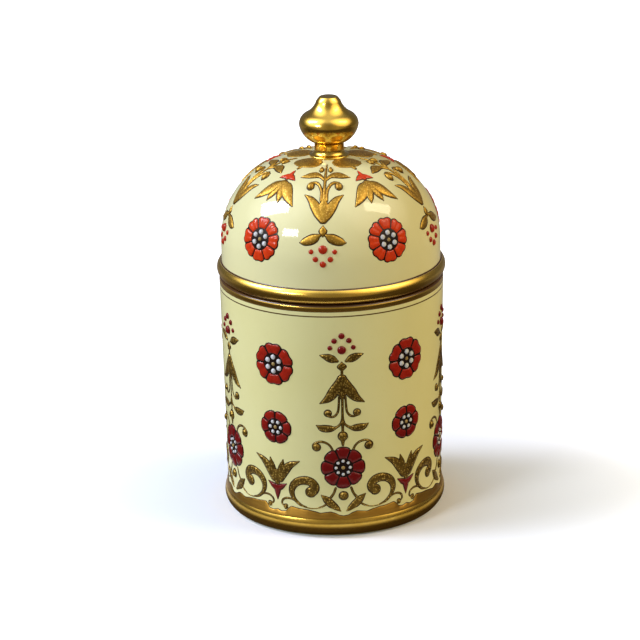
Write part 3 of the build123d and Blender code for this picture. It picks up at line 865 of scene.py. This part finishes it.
JAR_BETWEEN_SIDES = (
    ((1.0, 16.6, 0.95), (2.6, 19.3, 1.15), (4.4, 21.2, 0.80), (7.1, 22.6, 0.06)),
    ((0.8, 16.9, 0.80), (1.5, 19.6, 0.90), (2.1, 22.4, 0.08)),
    ((6.1, 10.2, 0.17), (4.7, 10.9, 0.17), (3.0, 11.0, 0.17), (1.7, 10.3, 0.17), (1.4, 9.2, 0.17),
     (2.0, 8.3, 0.17)),
)
JAR_BETWEEN_SIDE_BALLS = ((2.6, 8.25, 0.72),)
JAR_TREFOIL_MIDDLE = (((0, 13.7, 0.95), (0, 12.3, 0.70), (0, 10.2, 0.06)),)
JAR_TREFOIL_SIDES = (((0, 13.5, 0.70), (1.3, 14.2, 0.68), (2.9, 15.2, 0.08)),)
COVER_MAIN_MIDDLE = (
    ((0, 14.6, 0.1), (0, 16.0, 0.95), (0, 17.5, 0.1)),
    ((0, 18.5, 0.30), (0, 20.5, 1.50), (0, 23.0, 1.70), (0, 25.2, 0.60)),
    ((0, 25.0, 0.55), (0, 30.0, 0.45), (0, 33.0, 0.55), (0, 36.0, 0.45), (0, 40.5, 0.40)),
)
COVER_MAIN_SIDES = (
    ((0.9, 14.9, 0.35), (2.2, 14.1, 1.10), (3.6, 13.4, 1.15), (5.0, 12.9, 0.75), (5.9, 12.7, 0.08)),
    ((0.3, 19.0, 0.70), (1.3, 21.0, 1.30), (2.6, 23.2, 1.40), (4.3, 25.2, 0.90), (6.7, 26.6, 0.06)),
    ((0.9, 25.0, 0.35), (1.0, 28.0, 0.42), (2.1, 30.2, 0.45), (3.8, 31.2, 0.45), (5.8, 30.9, 0.42)),
    ((0.6, 32.6, 0.45), (2.4, 34.0, 0.70), (5.0, 34.5, 1.20), (8.0, 34.1, 1.15), (11.5, 33.0, 0.10)),
)
COVER_MAIN_SIDE_BALLS = ((5.5, 29.8, 1.35), (2.6, 37.2, 1.20))
COVER_BETWEEN_MIDDLE = (
    ((-1.6, 29.1, 1.1), (0, 29.6, 1.2), (1.6, 29.1, 1.1)),
    ((0, 37.6, 1.2), (0, 38.2, 7.6), (0, 39.4, 11.2), (0, 41.2, 12.8), (0, 43.2, 12.6), (0, 45.6, 5.0)),
)
COVER_BETWEEN_SIDES = (
    ((0.8, 29.0, 1.4), (2.9, 28.0, 1.9), (4.5, 26.2, 1.7), (5.9, 24.6, 1.05), (7.7, 22.7, 0.08)),
    ((0.4, 28.4, 1.1), (1.1, 26.7, 1.15), (1.8, 25.0, 0.95), (2.2, 23.3, 0.10)),
)
COVER_TREFOIL_MIDDLE = (((0, 32.6, 1.40), (0, 34.0, 0.85), (0, 35.4, 0.10)),)
COVER_TREFOIL_SIDES = (((0, 32.7, 0.90), (1.9, 32.3, 0.85), (4.1, 31.4, 0.12)),)


def mirrored(shapes):
    """Each stroke and its mirror image across the column."""
    return [tuple((side * x, *rest) for x, *rest in shape) for shape in shapes for side in (1, -1)]


def draw(gold, outlines, angle, strokes, balls):
    """Strokes and balls of one column, and the outlines under them."""
    for path in strokes:
        gold.stroke(angle, path, GILDING_RISE)
        outlines.stroke(angle, path, OUTLINE_RISE, grow=OUTLINE)
    for across, up, radius in balls:
        gold.drop(angle, across, up, radius, radius * BALL_RISE_SHARE, sides=BALL_SIDES)
        outlines.drop(angle, across, up, radius + OUTLINE, BALL_OUTLINE_RISE, sides=BALL_SIDES)


def gilding(prefix, place, column, gold, columns, trefoil, red, red_slot):
    """The gilding, the outlines and the trefoils of one body, as three pieces."""
    raised, outlines, trefoils = Relief(place), Relief(place), Relief(place)
    for shift, middle, sides, balls, side_balls in columns:
        both = [(side * x, y, r) for x, y, r in side_balls for side in (1, -1)]
        draw(raised, outlines, column + shift, [*middle, *mirrored(sides)], [*balls, *both])
    for path in trefoil:
        trefoils.stroke(column + HALF_PITCH, path, TREFOIL_RISE)
        outlines.stroke(column + HALF_PITCH, path, TREFOIL_OUTLINE_RISE, grow=TREFOIL_OUTLINE)
    for name, relief, material, slot in (
        ("gilding", raised, gold, "gilding"),
        ("outlines", outlines, OUTLINE_ENAMEL, "dark_red_enamel"),
        ("trefoils", trefoils, red, red_slot),
    ):
        piece = repeated(prefix + "_" + name + "_raised", relief, material)
        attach(piece, prefix)


gilding(
    "jar", on_wall, JAR_COLUMN, BODY_GOLD_PAINTED_SHADE,
    ((0.0, JAR_MAIN_MIDDLE, JAR_MAIN_SIDES, JAR_MAIN_BALLS, JAR_MAIN_SIDE_BALLS),
     (HALF_PITCH, JAR_BETWEEN_MIDDLE, JAR_BETWEEN_SIDES, (), JAR_BETWEEN_SIDE_BALLS)),
    [*JAR_TREFOIL_MIDDLE, *mirrored(JAR_TREFOIL_SIDES)], BERRY_ENAMEL, "dark_red_enamel",
)
gilding(
    "cover", on_dome_unrolled, COVER_COLUMN, DOME_GOLD_PAINTED_LIGHT,
    ((0.0, COVER_MAIN_MIDDLE, COVER_MAIN_SIDES, (), COVER_MAIN_SIDE_BALLS),
     (HALF_PITCH, COVER_BETWEEN_MIDDLE, COVER_BETWEEN_SIDES, (), ())),
    [*COVER_TREFOIL_MIDDLE, *mirrored(COVER_TREFOIL_SIDES)], ORANGE_ENAMEL, "orange_red_enamel",
)

# The gilt band above the foot: thin gold brushed on the cove, from the foot's bead up to an edge in
# scallops under the scrolls, with a brown outline showing along that edge.
SCALLOPS = ((0.0, 6.5), (1.2, 6.7), (2.6, 7.4), (3.8, 7.7), (5.2, 7.5), (6.6, 7.3), (8.2, 7.7),
            (10.4, 8.1), (12.6, 8.2), (14.4, 8.5), (15.3, 8.6), (16.1, 8.0), (16.9, 7.0), (18.3, 6.8),
            (19.6, 7.2))  # across from the column, height of the edge
BAND_FOOT = 5.6
BAND_EDGE = 0.12  # where the band starts to thin out under its upper edge
BAND_STEPS = 192  # round one fifth of the jar
BAND_GOLD = ((0.56, 0.32, 0.055, 1), (0.26, 0.12, 0.015, 1))
FOOT_OUTLINE = [point for point in jar_section() if 4.0 < point[1] < 12.0 and point[0] > 30.0]


def on_foot(angle, up, out):
    """A point, in metres, on the cove above the foot or on the wall, by an angle and a height."""
    radii, heights = zip(*FOOT_OUTLINE)
    radius = float(np.interp(up, heights, radii)) + out
    return (radius * MM * math.sin(angle), -radius * MM * math.cos(angle), up * MM)


def scalloped_band(name, grow, rise):
    """The band as one closed ring, its edge raised by grow."""
    places, edges = zip(*SCALLOPS)
    vertices = []
    for step in range(BAND_STEPS * REPEATS):
        share = 2 * (step % BAND_STEPS) / BAND_STEPS - 1
        top = np.interp(abs(places[-1] * share), places, edges) + grow
        angle = JAR_COLUMN + (2 * step / BAND_STEPS - 1) * HALF_PITCH
        section = (
            (BAND_FOOT, SUNK), (BAND_FOOT, rise * 0.6), (BAND_FOOT + 0.3, rise),
            (top - BAND_EDGE, rise), (top, rise * 0.4), (top + 0.02, SUNK),
        )
        vertices += [on_foot(angle, up, out) for up, out in section]
    faces = []
    for first in range(0, len(vertices), len(section)):
        following = (first + len(section)) % len(vertices)
        for row in range(len(section)):
            beside = (row + 1) % len(section)
            faces.append((first + row, first + beside, following + beside, following + row))
    return piece_from(name, vertices, faces)


def rubbed_gold():
    """Thin brown gold, rubbed smooth, with fine brush streaks round the jar."""
    material, shader, place = new_material("rubbed_gold")
    tall = node(material, "Mapping", Vector=place, Scale=(1.0, 1.0, 8.0))
    streaks = grain(material, tall.outputs[0], 150.0, detail=4.0)
    feed(material, shader["Base Color"], mixed(material, streaks, *BAND_GOLD))
    shader["Metallic"].default_value = 0.9
    shader["Roughness"].default_value = 0.3
    bumped(material, shader, streaks, strength=0.25, distance=0.0001)
    return material


for name, grow, rise, material, slot in (
    ("foot_band_gilding", 0.0, 0.10, rubbed_gold(), "gilding"),
    ("foot_band_outline", 0.20, 0.05, OUTLINE_ENAMEL, "dark_red_enamel"),
):
    piece = scalloped_band(name, grow, rise)
    piece.data.materials.append(material)
    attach(piece, "jar")

# The floor: a plain white surface that keeps the jar's soft shadow. The porcelain and the gold mirror
# it as a darker table, with painted contact shade right round the foot and a painted lit ring just
# beyond it, and with the white background behind the jar.
TABLE_GREY = (0.45, 0.45, 0.44, 1)
# Seen in reflections: dark, and painted contact shade inside LIT_RING; TABLE_LIT is painted light.
TABLE_MIRRORED_AND_CONTACT_SHADE = (0.07, 0.055, 0.040, 1)
TABLE_LIT = (0.80, 0.80, 0.78, 1)
LIT_RING = (0.039, 0.058)  # this and the next four are from and to distances in metres
LIT_RING_EDGE = 0.008
# The floor's glow is painted light: low and bluish near the jar, so the shadow stays dark and neutral
# there, and rising with distance, so the shadow fades out.
SHADOW_REACH = (0.034, 0.105)  # where the floor's own white comes in
FAR_REACH = (0.15, 0.8)  # where the last grey of the distance goes
REAR_REACH = (0.02, 0.2)  # behind the jar, where the mirrored background comes in
SHADOW_WHITE = (0.88, 0.91, 0.98, 1)
GLOW_NEAR = (0.50, 0.75, 1.20, 1)
GLOW_FAR = (1.0, 1.0, 1.0, 1)
GLOW_LEAST = 0.10
FLOOR_GLOW = 0.6
FAR_GLOW = 0.5
REAR_WHITE = 0.18


def rising(material, value, reach, low=0.0, high=1.0):
    """Goes from low to high while value goes from the start to the end of reach."""
    made = node(material, "MapRange", Value=value, From_Min=reach[0], From_Max=reach[1],
                To_Min=low, To_Max=high)
    return made.outputs[0]


def floor_material():
    """White to the camera with the shadow kept, and a plain grey table to the light. In reflections
    it is a dark table, painted as contact shade round the foot, with a painted lit ring beyond it.
    """
    material, shader, place = new_material("white_floor")
    path = node(material, "LightPath")
    seen = path.outputs["Is Camera Ray"]
    glossy = path.outputs["Is Glossy Ray"]
    reach = node(material, "VectorMath", operation="LENGTH", _0=place).outputs["Value"]
    ring = between(material, reach, *LIT_RING, LIT_RING_EDGE)
    colour = mixed(material, glossy, TABLE_GREY, mixed(material, ring, TABLE_MIRRORED_AND_CONTACT_SHADE, TABLE_LIT))
    feed(material, shader["Base Color"], mixed(material, seen, colour, SHADOW_WHITE))
    shader["Roughness"].default_value = 0.9
    shader["Specular IOR Level"].default_value = 0.0
    # Painted light: the glow rises away from the jar and fades its shadow.
    away = rising(material, reach, SHADOW_REACH, low=GLOW_LEAST)
    feed(material, shader["Emission Color"], mixed(material, away, GLOW_NEAR, GLOW_FAR))
    far = rising(material, reach, FAR_REACH, high=FAR_GLOW)
    glow = math_node(material, "MULTIPLY_ADD", away, FLOOR_GLOW, far)
    behind = node(material, "SeparateXYZ", Vector=place).outputs["Y"]
    rear = rising(material, behind, REAR_REACH, high=REAR_WHITE)
    shine = math_node(material, "MULTIPLY", glossy, rear)
    feed(material, shader["Emission Strength"], math_node(material, "MULTIPLY_ADD", seen, glow, shine))
    return material


floor = piece_from("floor", [(-2, -1, 0), (2, -1, 0), (2, 2, 0), (-2, 2, 0)], [(0, 1, 2, 3)])
floor.data.materials.append(floor_material())

# The surround: plain white to the camera. Its light is soft and cool from the left and warm from the
# right. The porcelain and the gold mirror a dim studio with two strips in front, white above, and a
# bright patch of sky at the left and at the right of the crown.
AMBIENT = ((-1.0, (0.18, 0.19, 0.20)), (0.2, (0.17, 0.16, 0.13)), (1.0, (0.58, 0.45, 0.25)))
AROUND = ((-1.0, (0.16, 0.16, 0.16)), (-0.60, (0.16, 0.16, 0.15)), (-0.45, (0.12, 0.12, 0.11)),
          (-0.20, (0.42, 0.38, 0.28)), (0.0, (0.26, 0.23, 0.15)), (0.20, (0.42, 0.36, 0.24)),
          (0.45, (0.10, 0.08, 0.05)), (0.62, (0.15, 0.14, 0.12)), (1.0, (0.16, 0.16, 0.16)))
ABOVE = ((-1.0, (0, 0, 0)), (0.50, (0.05, 0.05, 0.05)), (0.80, (0.45, 0.45, 0.43)),
         (0.95, (0.95, 0.95, 0.92)))
PATCHES = (((-0.72, -0.10, 0.69), (1.0, 1.0, 0.95)), ((0.66, -0.20, 0.72), (1.0, 0.86, 0.62)))
PATCH_FALL = ((-1.0, (0, 0, 0)), (0.78, (0, 0, 0)), (0.96, (1, 1, 1)))
PATCH_STRENGTH = 2.1


def ramp(owner, value, stops):
    """A colour ramp over -1 to 1 with (position, colour) stops."""
    made = node(owner, "ValToRGB", _0=math_node(owner, "MULTIPLY_ADD", value, 0.5, 0.5))
    elements = made.color_ramp.elements
    while len(elements) < len(stops):
        elements.new(0.5)
    for element, (position, colour) in zip(elements, stops):
        element.position = (position + 1) / 2
        element.color = (*colour, 1)
    return made.outputs[0]


def surround():
    """The world: AMBIENT runs from left to right, AROUND by the bearing from the front in half turns,
    ABOVE from straight down to straight up, and PATCH_FALL with the cosine of the angle to a patch."""
    world = bpy.data.worlds.new("surround")
    bpy.context.scene.world = world
    world.use_nodes = True
    path = node(world, "LightPath")
    direction = node(world, "TexCoord").outputs["Generated"]
    apart = node(world, "SeparateXYZ", Vector=direction)
    ahead = math_node(world, "MULTIPLY", apart.outputs["Y"], -1.0)
    turn = math_node(world, "ARCTAN2", apart.outputs["X"], ahead)
    around = ramp(world, math_node(world, "DIVIDE", turn, math.pi), AROUND)
    above = ramp(world, apart.outputs["Z"], ABOVE)
    mirrored_light = node(world, "VectorMath", operation="MAXIMUM", _0=around, _1=above)
    for towards, colour in PATCHES:
        facing = node(world, "VectorMath", operation="DOT_PRODUCT", _0=direction, _1=towards)
        fall = ramp(world, facing.outputs["Value"], PATCH_FALL)
        tint = [PATCH_STRENGTH * channel for channel in colour]
        patch = node(world, "VectorMath", operation="MULTIPLY", _0=fall, _1=tint)
        mirrored_light = node(world, "VectorMath", operation="ADD",
                              _0=mirrored_light.outputs[0], _1=patch.outputs[0])
    soft = ramp(world, apart.outputs["X"], AMBIENT)
    light = mixed(world, path.outputs["Is Glossy Ray"], soft, mirrored_light.outputs[0])
    light = mixed(world, path.outputs["Is Camera Ray"], light, (1, 1, 1, 1))
    feed(world, world.node_tree.nodes["Background"].inputs["Color"], light)


surround()

# The lights: softboxes at the left, the right and the front left, whose panels show in the glaze, and
# a broad warm light low at the right, which doesn't.
LIT_HEIGHT = 0.07
SOFTBOX_DISTANCE = 1.6


def softbox(name, direction, size, power, colour, spin, mirrored_too=True):
    """A rectangular light that faces the middle of the jar from a direction, turned about it."""
    lamp = bpy.data.lights.new(name, "AREA")
    lamp.shape = "RECTANGLE"
    lamp.size, lamp.size_y = size
    lamp.energy = power
    lamp.color = colour
    holder = bpy.data.objects.new(name, lamp)
    towards = Vector(direction).normalized()
    holder.location = Vector((0, 0, LIT_HEIGHT)) + towards * SOFTBOX_DISTANCE
    facing = towards.to_track_quat("Z", "Y") @ Euler((0, 0, math.radians(spin))).to_quaternion()
    holder.rotation_euler = facing.to_euler()
    holder.visible_glossy = mirrored_too
    bpy.context.scene.collection.objects.link(holder)


softbox("softbox_left", (-0.726, -0.02, 0.687), (0.84, 0.44), 18.5, (0.95, 1.0, 1.18), 52)
softbox("softbox_right", (0.653, -0.154, 0.742), (0.72, 0.34), 5.0, (1.0, 0.86, 0.60), -52)
softbox("softbox_front", (-0.647, -0.615, 0.45), (0.44, 0.24), 9.0, (0.96, 1.0, 1.03), 14)
softbox("softbox_low_right", (0.93, -0.15, 0.30), (0.9, 0.9), 7.5, (1.0, 0.72, 0.28), 0,
        mirrored_too=False)

# The camera stands in front of the jar and above it, with a long lens, and is turned by about a
# degree, as the jar leans in the picture. The shift places the jar in the frame.
CAMERA_PLACE = Vector((0, -0.7686, 0.3110))
CAMERA_AIM = Vector((0, 0, 0.04864))
CAMERA_ROLL = -0.01656
camera_data = bpy.data.cameras.new("camera")
camera_data.lens = 159.1
camera_data.sensor_width = 36.0
camera_data.shift_x = -0.01935
camera_data.shift_y = 0.0296
camera = bpy.data.objects.new("camera", camera_data)
camera.location = CAMERA_PLACE
level = (CAMERA_AIM - CAMERA_PLACE).to_track_quat("-Z", "Y").to_matrix()
camera.rotation_euler = (level @ Euler((0, 0, CAMERA_ROLL)).to_matrix()).to_euler()
bpy.context.scene.collection.objects.link(camera)
bpy.context.scene.camera = camera
bpy.context.scene.view_settings.view_transform = "Standard"

bpy.context.view_layer.update()
